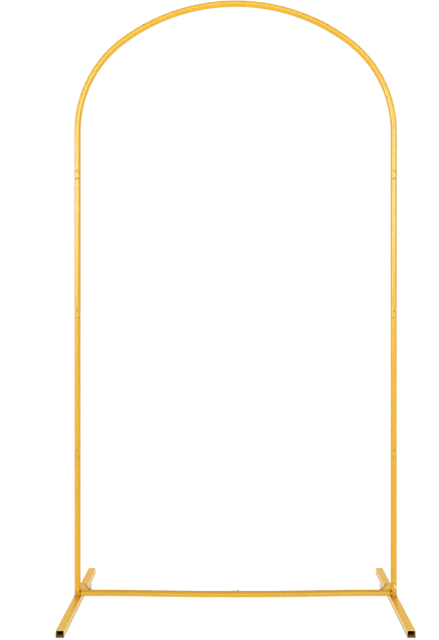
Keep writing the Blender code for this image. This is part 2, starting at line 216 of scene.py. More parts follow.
litFootFinish = {
    # coat and deep are a brighter copy of the tubes' gold: painted light on the tops of the feet
    "coat": rgb(0.98, 0.60, 0.055),
    "deep": rgb(0.90, 0.51, 0.04),
    "rubbedAndPaintedShade": rgb(0.96, 0.70, 0.28),
    "edge": rgb(1.0, 0.97, 0.92),
    "metallic": 0.48,
    "gloss": 0.5,
    "roughness": (0.20, 0.30),
    "peel": 0.03 * mm,
    "scales": {"broad": 9, "patch": 70, "flake": 2000, "scrape": 900, "mottle": 190, "scuff": 120,
               "peel": (340, 1900)},
    "ends": (240 * mm, 249.5 * mm),       # rubbing of the end rims, from the middle of the foot
    "endsRagged": 3 * mm,
    "paintedFloorShade": rgb(0.34, 0.28, 0.17),
    "floorShadeHeight": (4 * mm, 17 * mm),      # painted shade near the floor; it fades out upwards
    "floorShadeRagged": 4 * mm,
    "scuff": rgb(0.42, 0.22, 0.05),
}


def baseMarks(paint, place, patch, finish):
    # darker brown low on the socket, and painted shade in the crevices round the stub's weld, at its top and
    # bottom only
    outwards = paint.maths("ABSOLUTE", paint.part(place, 0))
    height = paint.part(place, 2)
    low = paint.step(height + (patch - 0.5) * finish["darkeningRagged"], *finish["darkeningHeight"], 0.7, 0)
    low = low * paint.step(outwards, *finish["darkeningReach"])
    rise = height - stubZ
    radius = paint.length(paint.part(place, 1), rise)
    away = paint.length(outwards - finish["creviceShadeReach"], radius - finish["creviceShadeRing"])
    creviceShadeMask = paint.step(away + (patch - 0.5) * finish["creviceShadeRagged"], *finish["creviceShadeSize"], 0.9, 0)
    return low, creviceShadeMask * paint.step(paint.maths("ABSOLUTE", rise), *finish["creviceShadeClimb"])


def coated(paint, place, finish, colour, rough, marks):
    # powder coat with its orange peel, lower where it is marked
    broad, fine = finish["scales"]["peel"]
    peel = paint.noise(place, broad, 2) * 0.8 + paint.noise(place, fine, 1) * 0.2
    return paint.finish({
        "Base Color": colour,
        "Metallic": finish["metallic"],
        "Roughness": rough,
        "Specular Tint": finish["edge"],
        "Specular IOR Level": finish["gloss"],
        "Normal": paint.bump(peel - marks, finish["peel"]),
    })


def tubePaint(name, finish):
    paint = Paint(bpy.data.materials.new(name))
    scales = finish["scales"]
    place = paint.place()
    patch = paint.noise(place, scales["patch"], 4, 0.6)
    thin = paint.step(paint.noise(place, scales["broad"], 3) * 0.55 + patch * 0.45, 0.36, 0.68)
    colour = paint.mix(thin * 0.4, finish["coat"], finish["deep"])
    flake = paint.step(paint.cells(place, scales["flake"]), 0.72, 0.98)
    colour = paint.mix(flake * 0.2, colour, finish["flake"])
    grain = paint.noise(paint.stretched(place, (1, 1, 0.35)), scales["grain"], 3, 0.65)
    # chipped paint where the mesh is marked worn; on the gussets the mark also lays painted shade along the
    # sloping edge
    chips = paint.step(paint.mark("wear") * 0.75 + grain * 0.5, 0.78, 0.92)
    colour = paint.mix(chips, colour, finish["worn"])
    low, creviceShadeMask = baseMarks(paint, place, patch, finish)
    # darker brown low on the socket, fading out upwards
    colour = paint.mix(low, colour, finish["darkening"])
    # painted shade in the crevices above and below the stub
    colour = paint.mix(creviceShadeMask, colour, finish["paintedCreviceShade"])
    smooth, dull = finish["roughness"]
    facing = paint.node("ShaderNodeLayerWeight", None, {"Blend": 0.5}, "Facing")
    rough = smooth + patch * (dull - smooth) + chips * 0.15
    rough = rough + paint.step(facing, 0.55, 1) * finish["grazing"]
    return coated(paint, place, finish, colour, rough, chips * 0.5)


def footPaint(name, finish):
    paint = Paint(bpy.data.materials.new(name))
    scales = finish["scales"]
    place = paint.place()
    patch = paint.noise(place, scales["patch"], 4, 0.6)
    thin = paint.step(paint.noise(place, scales["broad"], 3) * 0.5 + patch * 0.5, 0.36, 0.66)
    colour = paint.mix(thin * 0.8, finish["coat"], finish["deep"])
    flake = paint.step(paint.cells(place, scales["flake"]), 0.75, 0.98)
    colour = paint.mix(flake * 0.25, colour, finish["rubbedAndPaintedShade"])
    scrapes = paint.noise(paint.stretched(place, (1, 0.06, 1)), scales["scrape"], 3, 0.6)
    rubbedAndPaintedShade = paint.step(scrapes, 0.62, 0.72) * paint.step(patch, 0.45, 0.6)
    along = paint.maths("ABSOLUTE", paint.part(place, 1))
    ends = paint.step(along + patch * finish["endsRagged"], *finish["ends"])
    colour = paint.mix(rubbedAndPaintedShade * 0.35 + ends * 0.5, colour, finish["rubbedAndPaintedShade"])
    mottle = paint.step(paint.noise(place, scales["mottle"], 3, 0.7), 0.35, 0.65)
    colour = paint.mix(mottle * 0.22, colour, finish["deep"])
    scuffs = paint.noise(paint.stretched(place, (1, 0.4, 1)), scales["scuff"], 4, 0.6)
    colour = paint.mix(paint.step(scuffs, 0.66, 0.72) * 0.6, colour, finish["scuff"])
    # painted shade along the bottom of the foot, fading out upwards
    height = paint.part(place, 2) + (patch - 0.5) * finish["floorShadeRagged"]
    colour = paint.mix(paint.step(height, *finish["floorShadeHeight"], 0.85, 0), colour, finish["paintedFloorShade"])
    smooth, dull = finish["roughness"]
    rough = smooth + patch * (dull - smooth) + rubbedAndPaintedShade * 0.08
    return coated(paint, place, finish, colour, rough, rubbedAndPaintedShade * 0.3)


insideFinish = {
    "steel": rgb(0.008, 0.005, 0.004),       # black mill scale
    "rust": rgb(0.040, 0.014, 0.003),
    "spray": rgb(0.66, 0.42, 0.11),          # gold that drifted in at the open ends
    "sprayReach": (214 * mm, 243 * mm),      # from the middle of the foot
    "sprayRagged": 20 * mm,
}


def insidePaint(name, finish):
    paint = Paint(bpy.data.materials.new(name))
    place = paint.place()
    along = paint.maths("ABSOLUTE", paint.part(place, 1))
    blotch = paint.noise(place, 160, 4, 0.65)
    colour = paint.mix(paint.step(blotch, 0.5, 0.66), finish["steel"], finish["rust"])
    spray = paint.step(along + (blotch - 0.5) * finish["sprayRagged"], *finish["sprayReach"])
    colour = paint.mix(spray * 0.9, colour, finish["spray"])
    return paint.finish({
        "Base Color": colour,
        "Specular IOR Level": 0.2,
        "Roughness": 0.6 + blotch * 0.2,
        "Normal": paint.bump(blotch, 0.08 * mm),
    })


screwFinish = {
    "coat": rgb(0.42, 0.29, 0.055),
    "worn": rgb(0.62, 0.47, 0.16),
    "darkening": rgb(0.035, 0.024, 0.012),
    "rim": (4.2 * mm, 4.8 * mm),             # where the wear of the rim starts and is full
    "recessHeight": (1.3 * mm, 2.1 * mm),    # the cross is nearly black up to here
    "recessReach": (2.4 * mm, 2.9 * mm),
}


def screwPaint(name, finish):
    paint = Paint(bpy.data.materials.new(name))
    place = paint.place()
    across = paint.vectors("LENGTH", paint.vectors("MULTIPLY", place, (1, 1, 0), out="Vector"))
    blotch = paint.noise(place, 700, 4, 0.6)
    colour = paint.mix(paint.step(blotch, 0.52, 0.72) * 0.8, finish["coat"], finish["worn"])
    rim = paint.step(across + blotch * mm, *finish["rim"])
    colour = paint.mix(rim * 0.5, colour, finish["worn"])
    inRecess = paint.step(paint.part(place, 2), *finish["recessHeight"], 1, 0)
    inRecess = inRecess * paint.step(across, *finish["recessReach"], 1, 0)
    # nearly black in the cross recess
    colour = paint.mix(inRecess * 0.85, colour, finish["darkening"])
    return paint.finish({
        "Base Color": colour,
        "Metallic": 0.75,
        "Roughness": 0.38 + blotch * 0.2,
        "Normal": paint.bump(blotch, 0.05 * mm),
    })


zincFinish = {
    "bright": rgb(0.76, 0.69, 0.56),
    "milky": rgb(0.54, 0.51, 0.51),
    "warm": rgb(0.80, 0.67, 0.43),           # yellow passivate in the zinc
}


def zincPaint(name, finish):
    paint = Paint(bpy.data.materials.new(name))
    place = paint.place()
    cloud = paint.noise(place, 260, 4, 0.6)
    grain = paint.noise(place, 1500, 3, 0.6)
    colour = paint.mix(paint.step(cloud, 0.42, 0.66), finish["bright"], finish["milky"])
    colour = paint.mix(paint.step(paint.noise(place, 120, 2), 0.5, 0.7) * 0.5, colour, finish["warm"])
    return paint.finish({
        "Base Color": colour,
        "Metallic": 0.92,
        "Roughness": 0.44 + cloud * 0.2,
        "Normal": paint.bump(grain * 0.6 + cloud * 0.4, 0.06 * mm),
    })


goldPaint = tubePaint("goldPaint", goldFinish)
shadedBarPaint = tubePaint("crossbarShadedGoldPaint", shadedBarFinish)
paintedLightPlatePaint = tubePaint("plateGoldWithPaintedLight", paintedLightPlateFinish)
litFootGold = footPaint("footGoldPaintedLight", litFootFinish)
tubeInside = insidePaint("bareTubeInside", insideFinish)
bronzeScrew = screwPaint("bronzeScrew", screwFinish)
zincPlate = zincPaint("zincPlate", zincFinish)
print("materials ready")


# Helpers for pieces


def inScene(name, data):
    made = bpy.data.objects.new(name, data)
    bpy.context.scene.collection.objects.link(made)
    return made


def addPiece(name, mesh, materials, nodes=(), matrix=None):
    piece = inScene(name, mesh)
    if not mesh.materials:
        for material in materials:
            mesh.materials.append(material)
    if matrix is not None:
        piece.matrix_world = matrix
    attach(piece, "root")
    if nodes:
        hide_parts(*nodes)
    shown.append(piece)


def newShape():
    shape = bmesh.new()
    return shape, shape.verts.layers.float.new("wear")


def bakeMesh(shape, name, smooth=True):
    bmesh.ops.recalc_face_normals(shape, faces=shape.faces)
    mesh = bpy.data.meshes.new(name)
    shape.to_mesh(mesh)
    shape.free()
    if smooth:
        mesh.shade_smooth()
    return mesh


def roundSection(radius, count=48):
    turn = math.tau / count
    return [(radius * math.cos(turn * index), radius * math.sin(turn * index)) for index in range(count)]


def addRing(shape, points, wear=None, worn=0):
    ring = [shape.verts.new(point) for point in points]
    if wear is not None:
        for corner in ring:
            corner[wear] = worn
    return ring


def joinRings(shape, first, second):
    # a band of faces between two rings
    return [shape.faces.new((first[index - 1], first[index], second[index], second[index - 1]))
            for index in range(len(first))]


def prism(shape, first, second):
    # a plate, or a cutter, between two outlines
    shape.faces.new(first)
    shape.faces.new(second)
    joinRings(shape, first, second)


def closedWall(name, rings):
    # rings of points out along the outside and back along the inside,
    # each with its wear and whether it is inside
    shape, wear = newShape()
    made = [(addRing(shape, points, wear, worn), inside) for points, worn, inside in rings]
    for (first, firstIn), (second, secondIn) in zip(made, made[1:] + made[:1]):
        for face in joinRings(shape, first, second):
            face.material_index = 1 if firstIn and secondIn else 0
    return bakeMesh(shape, name)


def sweptShell(name, path, loop):
    # loop: each ring's place on the path, its section, its wear and whether it is inside
    rings = []
    for place, section, worn, inside in loop:
        point, along, side = path(place)
        lift = along.cross(side)
        rings.append(([point + side * u + lift * v for u, v in section], worn, inside))
    return closedWall(name, rings)


def heading(distance):
    if distance <= crownArc:
        return distance / crownR
    return min(crownAngle + (distance - crownArc) / shoulderR, math.pi / 2)


def archPath(distance):
    # point, direction and front of the arch at a distance from its apex, left negative
    angle = heading(abs(distance))
    side = math.copysign(1, distance)
    along = Vector((math.cos(angle), 0, -side * math.sin(angle)))
    if abs(distance) <= crownArc:
        x = crownR * math.sin(angle)
        z = crownCentreZ + crownR * math.cos(angle)
    else:
        x = legX - shoulderR + shoulderR * math.sin(angle)
        z = stand["springing"] + shoulderR * math.cos(angle) - max(abs(distance) - archArc, 0)
    return Vector((side * x, 0, z)), along, front


def archDistance(height):
    return archArc + stand["springing"] - height


def barPoint(x):
    level = legX - stand["barLevelEnd"]
    share = (level - abs(x)) / (level - stand["barLevelEnd"])
    share = min(max(share, 0), 1)
    share = share * share * (3 - 2 * share)
    return Vector((x, 0, stubZ - stand["barSag"] * share))


def barPath(x):
    along = (barPoint(x + mm) - barPoint(x - mm)).normalized()
    return barPoint(x), along, front


def straightPath(start, along, side):
    return lambda reach: (start + along * reach, along, side)


# Ends of a tube: mm into the tube from its seam, outer or inner radius in mm, wear, inside
neckTail = [
    (-0.4, 9.70, 1.0, 0), (-13, 9.70, 1.0, 0), (-26, 9.70, 1.0, 0), (-39, 9.70, 1.0, 0),
    (-39.7, 9.60, 1.0, 0), (-40, 9.35, 1.0, 0), (-40, 9.00, 1.0, 0), (-39.8, 8.76, 1.0, 1),
    (-39, 8.70, 1.0, 1), (-26, 8.70, 1.0, 1), (-13, 8.70, 1.0, 1), (0, 8.72, 1.0, 1),
    (1.7, 9.33, 1.0, 1), (3.2, 9.95, 1.0, 1), (5, 10.00, 1.0, 1),
]
endShapes = {
    "sleeve": [
        (41, 11.00, 0.0, 0), (27, 11.00, 0.0, 0), (14, 11.00, 0.05, 0), (8, 11.00, 0.2, 0),
        (4, 11.00, 0.5, 0), (1.5, 11.00, 0.8, 0), (0.6, 11.00, 1.0, 0), (0.22, 10.92, 1.0, 0),
        (0.03, 10.72, 1.0, 0), (0.0, 10.45, 1.0, 0), (0.08, 10.20, 1.0, 0), (0.35, 10.03, 1.0, 1),
        (0.8, 10.00, 1.0, 1), (14, 10.00, 1.0, 1), (27, 10.00, 1.0, 1), (41, 10.00, 1.0, 1),
    ],
    "neck": [
        (14, 11.00, 0.0, 0), (8, 11.00, 0.15, 0), (5, 11.00, 0.4, 0), (3.8, 11.00, 0.55, 0),
        (3.2, 10.95, 0.6, 0), (2.5, 10.72, 0.65, 0), (1.7, 10.33, 0.75, 0), (1.0, 9.97, 0.9, 0),
        (0.4, 9.76, 1.0, 0),
    ] + neckTail,
    "flushSleeve": [
        (41, 11.00, 0.0, 0), (14, 11.00, 0.0, 0), (2, 11.00, 0.0, 0), (0.3, 11.00, 0.1, 0),
        (0.08, 10.96, 0.3, 0), (0.0, 10.86, 0.4, 0), (0.0, 10.45, 0.6, 0), (0.08, 10.20, 1.0, 0),
        (0.35, 10.03, 1.0, 1), (0.8, 10.00, 1.0, 1), (14, 10.00, 1.0, 1), (41, 10.00, 1.0, 1),
    ],
    "flushNeck": [
        (14, 11.00, 0.0, 0), (3, 11.00, 0.0, 0), (0.5, 11.00, 0.1, 0), (0.2, 10.97, 0.3, 0),
        (0.1, 10.86, 0.4, 0), (0.1, 10.30, 0.6, 0), (0.0, 9.80, 1.0, 0),
    ] + neckTail,
    "mouth": [
        (60, 11.00, 0.0, 0), (41, 11.00, 0.0, 0), (34, 11.04, 0.0, 0), (29, 11.25, 0.05, 0),
        (24, 11.40, 0.05, 0), (12, 11.45, 0.1, 0), (6, 11.45, 0.2, 0), (2, 11.45, 0.3, 0),
        (0.7, 11.42, 0.4, 0), (0.2, 11.30, 0.5, 0), (0.0, 11.02, 0.6, 0), (0.0, 10.55, 1.0, 0),
        (0.1, 10.25, 1.0, 0), (0.4, 10.05, 1.0, 1), (0.9, 10.00, 1.0, 1), (14, 10.00, 1.0, 1),
        (27, 10.00, 1.0, 1), (41, 10.00, 1.0, 1), (60, 10.00, 1.0, 1),
    ],
}


def tubeLoop(low, lowEnd, high, highEnd, step):
    # rings of a round tube from its low seam to its high one, with more rings where it bends
    def rings(seam, kind, direction):
        return [(seam + direction * offset * mm, radius * mm, worn, inside)
                for offset, radius, worn, inside in endShapes[kind]]

    start = rings(low, lowEnd, 1)
    stop = rings(high, highEnd, -1)
    first = start[0][0]
    last = stop[0][0]
    count = max(1, math.ceil((last - first) / step))
    between = [first + (last - first) * index / count for index in range(1, count)]
    loop = start[::-1]
    loop += [(place, tubeRadius, 0.0, 0) for place in between]
    loop += stop
    loop += [(place, tubeRadius - stand["tubeWall"], 1.0, 1) for place in reversed(between)]
    return [(place, roundSection(radius), worn, inside) for place, radius, worn, inside in loop]


# Arch and legs


archLook = {"bendStep": 15 * mm, "straightStep": 130 * mm}
gold = [goldPaint, tubeInside]
bar = [shadedBarPaint, tubeInside]

crownSeam = stand["crownSeam"]
loop = tubeLoop(-crownSeam, "flushNeck", crownSeam, "flushNeck", archLook["bendStep"])
addPiece("crownTube", sweptShell("crownTube", archPath, loop), gold, ["arch_crown_tube"])

upper, middle, lower, bottom = (archDistance(stand[key])
                                for key in ("upperSeam", "middleSeam", "lowerSeam", "socketTop"))
bend = archLook["bendStep"]
straight = archLook["straightStep"]
runs = [
    ("shoulderTube", "arch_shoulder_tube", crownSeam, "flushSleeve", upper, "sleeve", bend),
    ("upperPole", "leg_upper_pole", upper, "neck", middle, "sleeve", straight),
    ("middlePole", "leg_middle_pole", middle, "neck", lower, "sleeve", straight),
    ("lowerPole", "leg_lower_pole", lower, "neck", bottom, "flushNeck", straight),
]
for side, sign in sides.items():
    for name, node, near, nearEnd, far, farEnd, step in runs:
        ends = (near, nearEnd, far, farEnd) if sign > 0 else (-far, farEnd, -near, nearEnd)
        mesh = sweptShell(name, archPath, tubeLoop(*ends, step))
        addPiece(f"{name}.{side}", mesh, gold, [f"{node}_{side}"])
print("arch and legs ready")


# Crossbar


stubEnd = legX - stand["stubReach"]
barSeam = stand["barSeam"]
barStep = 30 * mm
halves = [("left", -stubEnd, "flushNeck", barSeam), ("right", barSeam, "mouth", stubEnd)]
for side, low, lowEnd, high in halves:
    name = "crossbar" + side.title()
    mesh = sweptShell(name, barPath, tubeLoop(low, lowEnd, high, "flushNeck", barStep))
    addPiece(name, mesh, bar, [f"crossbar_half_{side}"])
print("crossbar ready")


# Weld beads


weld = {
    "fullness": 0.45,      # 0 is a flat fillet, 1 a round one
    "pitch": 1.7 * mm,     # from one ripple to the next
    "ripple": 0.13,
    "bow": 0.4,            # how far a ripple's middle runs ahead, in pitches
    "uneven": 0.16,
    "unevenScale": 320,
    "steps": 8,            # across a bead
    "turn": (-6, 102),     # its first angle and how far it turns, in degrees
    "root": 0.12,          # depth of its hidden side behind the joint
    "wear": 0.25,
    "start": 0.45,         # size at the ends of an open bead
    "startSteps": 4,
}


def beadRings(shape, wear, stations, closed, seed):
    # stations: corner, toe on the first surface, toe on the second, all along the joint
    steps = weld["steps"]
    firstTurn, turn = weld["turn"]
    travelled = 0
    rings = []
    previous = stations[-1][0] if closed else stations[0][0]
    for corner, toeA, toeB in stations:
        travelled += (corner - previous).length
        previous = corner
        swell = 1 + weld["uneven"] * noise.noise(corner * weld["unevenScale"] + Vector((seed, 0, 0)))
        points = []
        for index in range(steps + 1):
            angle = math.radians(firstTurn + turn * index / steps)
            chord = 1 / max(abs(math.cos(angle)) + abs(math.sin(angle)), 0.5)
            reach = chord + (1 - chord) * weld["fullness"]
            phase = (travelled / weld["pitch"] + weld["bow"] * math.sin(2 * angle)) % 1
            edge = math.sin(math.pi * index / steps)
            reach *= swell * (1 + weld["ripple"] * edge * (1 - phase) ** 1.5)
            place = corner + (toeA - corner) * math.cos(angle) * reach
            points.append(place + (toeB - corner) * math.sin(angle) * reach)
        points.append(corner - ((toeA - corner) + (toeB - corner)) * weld["root"])
        rings.append(addRing(shape, points, wear, weld["wear"]))
    for first, second in zip(rings, rings[1:] + (rings[:1] if closed else [])):
        joinRings(shape, first, second)
    if not closed:
        shape.faces.new(rings[0])
        shape.faces.new(rings[-1])


def tapered(stations):
    # an open bead starts and stops small
    out = []
    for index, (corner, toeA, toeB) in enumerate(stations):
        rank = min(index, len(stations) - 1 - index)
        share = weld["start"] + (1 - weld["start"]) * min(rank / weld["startSteps"], 1)
        out.append((corner, corner + (toeA - corner) * share, corner + (toeB - corner) * share))
    return out


def beadMesh(name, beads, seed):
    shape, wear = newShape()
    for index, (stations, closed) in enumerate(beads):
        # the step between seeds gives each bead another stretch of the noise
        beadRings(shape, wear, stations if closed else tapered(stations), closed, seed + index * 7.3)
    return bakeMesh(shape, name)


# Feet, sockets, stubs and gussets


foot = {
    "halfWidth": 14 * mm,
    "halfHeight": 12.5 * mm,
    "corner": 2.2 * mm,
    "innerCorner": 0.7 * mm,
    "wall": 1.2 * mm,
    "cornerSteps": 6,
    # weld seam inside the tube: places beside its middle in mm, and the share of its height there
    "seam": ((-1.6, 0.15), (-0.7, 0.8), (0, 1), (0.7, 0.8), (1.6, 0.15)),
    "seamHeight": 0.45 * mm,
    # its end, from the outside round to the inside: mm from the end, mm of inset, wear
    "rim": ((6, 0, 0), (1.2, 0, 0.3), (0.5, 0, 0.8), (0.15, 0.1, 1), (0, 0.3, 1), (0, 0.85, 1),
            (0.12, 1.08, 1), (0.4, 1.2, 1), (1.2, 1.2, 1), (6, 1.2, 1)),
    "insideFrom": 1.15,    # mm of inset from which a ring is inside
    "cuts": (-150 * mm, -50 * mm, 50 * mm, 150 * mm),
    "weldLeg": 1.5 * mm,
    "weldSteps": 320,
}


def boxSection(inset, seamRidge=False):
    # rounded rectangle, drawn from its right side round
    halfWidth = foot["halfWidth"] - inset
    halfHeight = foot["halfHeight"] - inset
    corner = max(foot["corner"] - inset, foot["innerCorner"])
    points = []
    steps = foot["cornerSteps"]
    for quarter in range(4):
        start = quarter * math.pi / 2
        x = math.copysign(halfWidth - corner, math.cos(start + math.pi / 4))
        y = math.copysign(halfHeight - corner, math.sin(start + math.pi / 4))
        for step in range(steps + 1):
            angle = start + math.pi / 2 * step / steps
            points.append((x + corner * math.cos(angle), y + corner * math.sin(angle)))
        # points on the flat that follows, for the seam
        turn = start + math.pi / 2
        flat = Vector((-math.sin(turn), math.cos(turn)))
        middle = Vector((halfWidth * math.cos(turn), halfHeight * math.sin(turn)))
        for offset, rise in foot["seam"]:
            ridge = foot["seamHeight"] * rise if seamRidge and quarter == 2 else 0
            spot = middle + flat * offset * mm - Vector((math.cos(turn), math.sin(turn))) * ridge
            points.append((spot.x, spot.y))
    return points


def footLoop():
    loop = []
    for sign, cuts, inset, worn, inside in ((-1, foot["cuts"], 0, 0, False),
                                            (1, foot["cuts"][::-1], foot["wall"], 1, True)):
        rim = [(sign * (stand["footLength"] / 2 - offset * mm), depth * mm, wear, depth > foot["insideFrom"])
               for offset, depth, wear in foot["rim"][::sign]]
        loop += rim + [(place, inset, worn, inside) for place in cuts]
    return [(place, boxSection(inset, inside), worn, inside) for place, inset, worn, inside in loop]


def footTop(x):
    # height of the foot's top at x from its middle, with its rounded corner
    beyond = abs(x) - (foot["halfWidth"] - foot["corner"])
    if beyond <= 0:
        return stand["footHeight"]
    beyond = min(beyond, foot["corner"] * 0.98)  # the corner never turns quite upright here
    return stand["footHeight"] - foot["corner"] + math.sqrt(foot["corner"] ** 2 - beyond ** 2)


def onTube(y):
    # reach of the tube's wall at y from its axis
    return math.sqrt(max(tubeRadius ** 2 - y ** 2, 0))


def footWeldStations(leg):
    stations = []
    for index in range(foot["weldSteps"]):
        angle = math.tau * index / foot["weldSteps"]
        out = Vector((math.cos(angle), math.sin(angle), 0))
        toe = out * (tubeRadius + foot["weldLeg"])
        base = out * tubeRadius
        corner = leg + Vector((base.x, base.y, footTop(base.x)))
        toeA = leg + Vector((toe.x, toe.y, footTop(toe.x)))
        toeB = leg + Vector((base.x, base.y, stand["footHeight"] + foot["weldLeg"]))
        stations.append((corner, toeA, toeB))
    return stations


def openEnd(end, depth):
    # rings of a plain open tube end, up to a depth from it
    return [(end - offset * mm, radius * mm, worn, inside)
            for offset, radius, worn, inside in endShapes["flushSleeve"] if offset * mm < depth]


socket = {
    "outside": ((25, 0.2), (30, 0.1), (45, 0), (60, 0)),     # height in mm, wear
    "inside": (60, 45, 25),
    "endDepth": 20 * mm,
}


def socketLoop():
    rows = [(height * mm, tubeRadius, worn, 0) for height, worn in socket["outside"]]
    rows += openEnd(stand["socketTop"], socket["endDepth"])
    rows += [(height * mm, tubeRadius - stand["tubeWall"], 1, 1) for height in socket["inside"]]
    return [(place, roundSection(radius), worn, inside) for place, radius, worn, inside in rows]


stubLook = {
    "tip": 6.4 * mm,             # radius where it meets the socket
    "tipReach": 11 * mm,
    "full": 18.6 * mm,           # where it has its full radius
    "straight": 0.45,            # share of a straight cone in its swelling
    "cutReach": 12.5 * mm,       # rings nearer than this are cut to the curve of the socket
    "rings": (11.0, 11.8, 12.8, 13.8, 14.8, 15.8, 16.8, 17.8, 18.6, 20, 30, 45),     # in mm
    "endDepth": 12 * mm,
    "wear": 0.1,
    "weldLeg": 1.9 * mm,
    "weldSteps": 180,
}


def stubRadius(reach):
    share = (reach - stubLook["tipReach"]) / (stubLook["full"] - stubLook["tipReach"])
    share = min(max(share, 0), 1)
    eased = share * stubLook["straight"] + share * share * (3 - 2 * share) * (1 - stubLook["straight"])
    return stubLook["tip"] + (tubeRadius - stubLook["tip"]) * eased


def stubWeldStations(leg, inwards):
    stations = []
    tip = stubLook["tip"]
    size = stubLook["weldLeg"]
    axis = leg + up * stubZ
    for index in range(stubLook["weldSteps"]):
        angle = math.tau * index / stubLook["weldSteps"]
        spin = Vector((0, math.cos(angle), math.sin(angle)))
        corner, toeA = (axis + inwards * onTube(spin.y * radius) + spin * radius
                        for radius in (tip, tip + size))
        along = onTube(spin.y * tip) + size
        stations.append((corner, toeA, axis + inwards * along + spin * stubRadius(along)))
    return stations


def stubMesh(leg, inwards):
    reaches = [reach * mm for reach in stubLook["rings"]]
    rows = [(reach, stubRadius(reach), stubLook["wear"], False) for reach in reaches]
    rows += openEnd(stand["stubReach"], stubLook["endDepth"])
    rows += [(reach, stubRadius(reach) - stand["tubeWall"], 1, True) for reach in reversed(reaches)]
    axis = leg + up * stubZ
    rings = []
    for reach, radius, worn, inside in rows:
        points = []
        for u, v in roundSection(radius):
            fitted = max(reach, onTube(u)) if reach < stubLook["cutReach"] else reach
            points.append(axis + inwards * fitted + Vector((0, u, v)))
        rings.append((points, worn, inside))
    return closedWall("crossbarStub", rings)


gusset = {
    "half": 1.5 * mm,
    "bottom": 47.3 * mm,
    "height": 23.6 * mm,
    "near": 10.6 * mm,           # its upright edge, from the leg's axis
    "foot": 46 * mm,
    "top": 26.8 * mm,
    "footCut": ((-1.5 * mm, 0), (-0.4 * mm, 0.7 * mm)),      # how the two ends of the slope are blunted
    "topCut": ((0.8 * mm, -0.8 * mm), (-0.6 * mm, 0)),
    "soft": 0.5 * mm,
    "rubbedAndPaintedShade": (2.4 * mm, 4.2 * mm),     # band of painted shade beside the sloping edge
    "edgeShadeWear": (1, 0.7),      # wear at the edge, and how much less beyond the band; this wear paints the shade
    "weldLeg": 1.7 * mm,
    "weldSteps": 90,
    "uprightWeld": (0.6 * mm, 1.0 * mm),     # what is left bare at its lower and upper end
    "levelWeld": (19 * mm, 3.5 * mm),        # where it starts, and what is left bare at the foot
}


def gussetMesh(leg, inwards):
    low = gusset["bottom"]
    high = low + gusset["height"]
    outline = [(gusset["near"], low)]
    outline += [(gusset["foot"] + x, low + z) for x, z in gusset["footCut"]]
    outline += [(gusset["top"] + x, high + z) for x, z in gusset["topCut"]]
    outline += [(gusset["near"], high)]
    shape, wear = newShape()
    prism(shape, *(addRing(shape, [leg + inwards * reach + Vector((0, y, z)) for reach, z in outline])
                   for y in (-gusset["half"], gusset["half"])))
    bmesh.ops.recalc_face_normals(shape, faces=shape.faces)
    sharp = [edge for edge in shape.edges if edge.calc_face_angle(0) > 0.5]
    bmesh.ops.bevel(shape, geom=sharp, offset=gusset["soft"], segments=3, profile=0.5, affect="EDGES")
    # two cuts beside the sloping edge, so that painted shade can lie in a narrow band there
    start, stop = (leg + inwards * reach + up * z for reach, z in outline[2:4])
    away = (stop - start).cross(front).normalized()
    if away.dot(leg + up * low - start) < 0:
        away = -away
    for inset in gusset["rubbedAndPaintedShade"]:
        everything = shape.verts[:] + shape.edges[:] + shape.faces[:]
        bmesh.ops.bisect_plane(shape, geom=everything, plane_co=start + away * inset,
                               plane_no=away, dist=1e-6)
    first, second = gusset["rubbedAndPaintedShade"]
    most, drop = gusset["edgeShadeWear"]
    # dark worn paint along the sloping edge: painted shade
    for corner in shape.verts:
        share = ((corner.co - start).dot(away) - first) / (second - first)
        corner[wear] = most - drop * min(max(share, 0), 1)
    return bakeMesh(shape, "gusset")


def gussetWeldStations(leg, inwards):
    # a bead along the socket and one along the stub, on both sides of the plate
    beads = []
    size = gusset["weldLeg"]
    count = gusset["weldSteps"]
    lowGap, highGap = gusset["uprightWeld"]
    near, farGap = gusset["levelWeld"]
    low = gusset["bottom"] + lowGap
    high = gusset["bottom"] + gusset["height"] - highGap
    far = gusset["foot"] - farGap
    for sign in (-1, 1):
        y = sign * gusset["half"]
        toe = sign * (gusset["half"] + size)
        upright = []
        level = []
        for index in range(count + 1):
            z = low + (high - low) * index / count
            corner = leg + inwards * onTube(y) + Vector((0, y, z))
            toeA = leg + inwards * onTube(toe) + Vector((0, toe, z))
            toeB = leg + inwards * (onTube(y) + size) + Vector((0, y, z))
            upright.append((corner, toeA, toeB))
            base = leg + inwards * (near + (far - near) * index / count) + up * stubZ
            corner = base + Vector((0, y, onTube(y)))
            toeA = base + Vector((0, toe, onTube(toe)))
            toeB = base + Vector((0, y, onTube(y) + size))
            level.append((corner, toeA, toeB))
        beads += [(upright, False), (level, False)]
    return beads


for side, sign in sides.items():
    leg = Vector((sign * legX, 0, 0))
    inwards = Vector((-sign, 0, 0))
    mesh = sweptShell("foot", straightPath(leg + up * foot["halfHeight"], backwards, rightwards), footLoop())
    addPiece(f"foot.{side}", mesh, [litFootGold, tubeInside], [f"foot_tube_{side}"])
    mesh = sweptShell("socket", straightPath(leg, up, rightwards), socketLoop())
    addPiece(f"socket.{side}", mesh, gold, [f"base_socket_{side}"])
    mesh = stubMesh(leg, inwards)
    addPiece(f"crossbarStub.{side}", mesh, bar, [f"crossbar_stub_{side}"])
    mesh = gussetMesh(leg, inwards)
    addPiece(f"gusset.{side}", mesh, [paintedLightPlatePaint], [f"gusset_{side}"])
    beads = [(footWeldStations(leg), True), (stubWeldStations(leg, inwards), True)]
    addPiece(f"baseWelds.{side}", beadMesh("baseWelds", beads, 3 + sign), gold)
    beads = gussetWeldStations(leg, inwards)
    addPiece(f"gussetWelds.{side}", beadMesh("gussetWelds", beads, 11 + sign), gold)
print("bases ready")


# Screws


